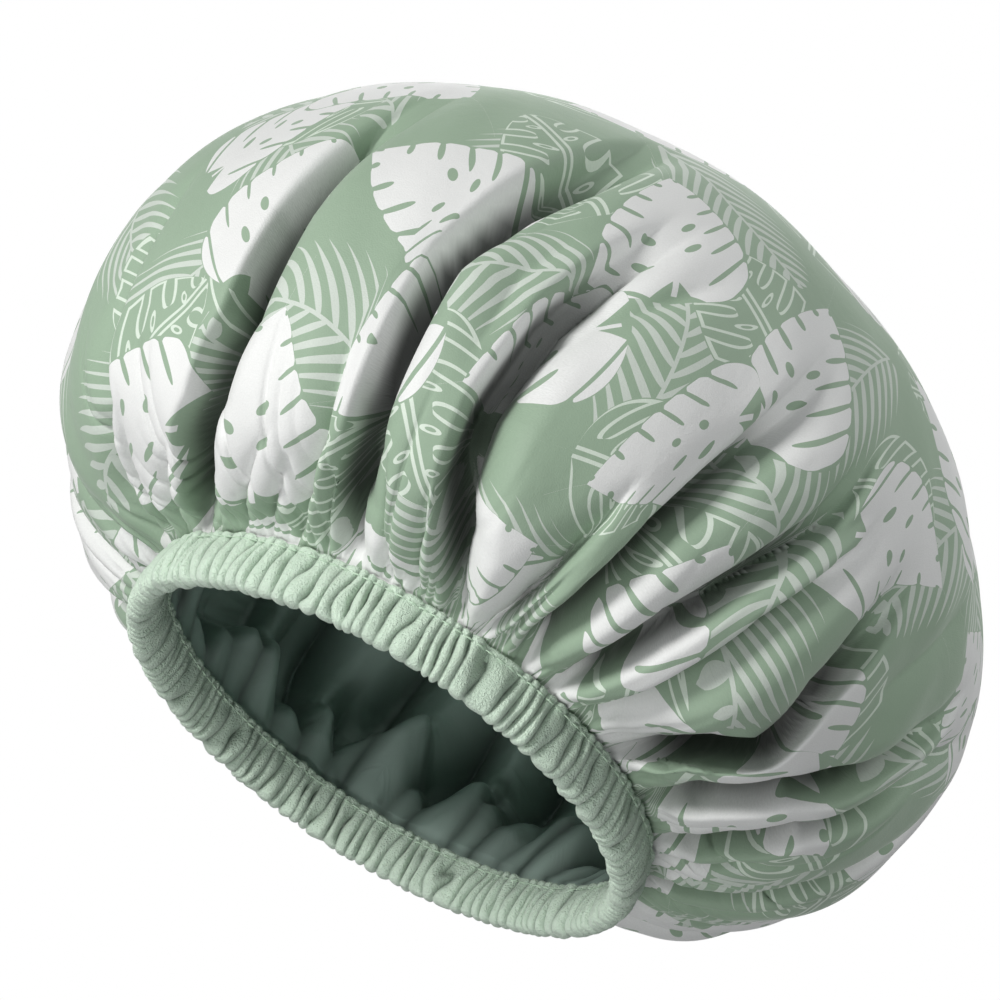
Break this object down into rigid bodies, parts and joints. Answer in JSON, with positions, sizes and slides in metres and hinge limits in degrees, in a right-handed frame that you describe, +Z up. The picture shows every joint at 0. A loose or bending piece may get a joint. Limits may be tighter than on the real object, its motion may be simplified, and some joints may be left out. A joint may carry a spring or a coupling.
{
  "type": "shower cap",
  "caption": "Large puffed shower cap with gathered folds, a satin lining and a ruched elastic casing round an oval head opening.",
  "frame": {"origin": "centre of the oval head opening, in the plane that the casing stands on", "axes": "+Z up through the crown, +X across the opening's short axis, +Y along its long axis to the back"},
  "size_m": [0.2775, 0.2817, 0.197],
  "materials": {
    "printed_satin": "satin weave, sage green with white and pale leaf print",
    "lining_satin": "plain dark grey-green satin with a soft gloss",
    "casing_velour": "light mint short-pile velour, ruched",
    "elastic": "knitted off-white elastic",
    "thread": "spun polyester sewing thread, mint"
  },
  "bodies": {
    "root": {"outer_shell": "printed_satin", "waterproof_lining": "lining_satin", "band_casing": "casing_velour", "elastic_tape": "elastic", "topstitch_outer_thread": "thread", "topstitch_inner_thread": "thread", "casing_join_thread": "thread", "elastic_join_thread": "thread"}
  },
  "joints": []
}
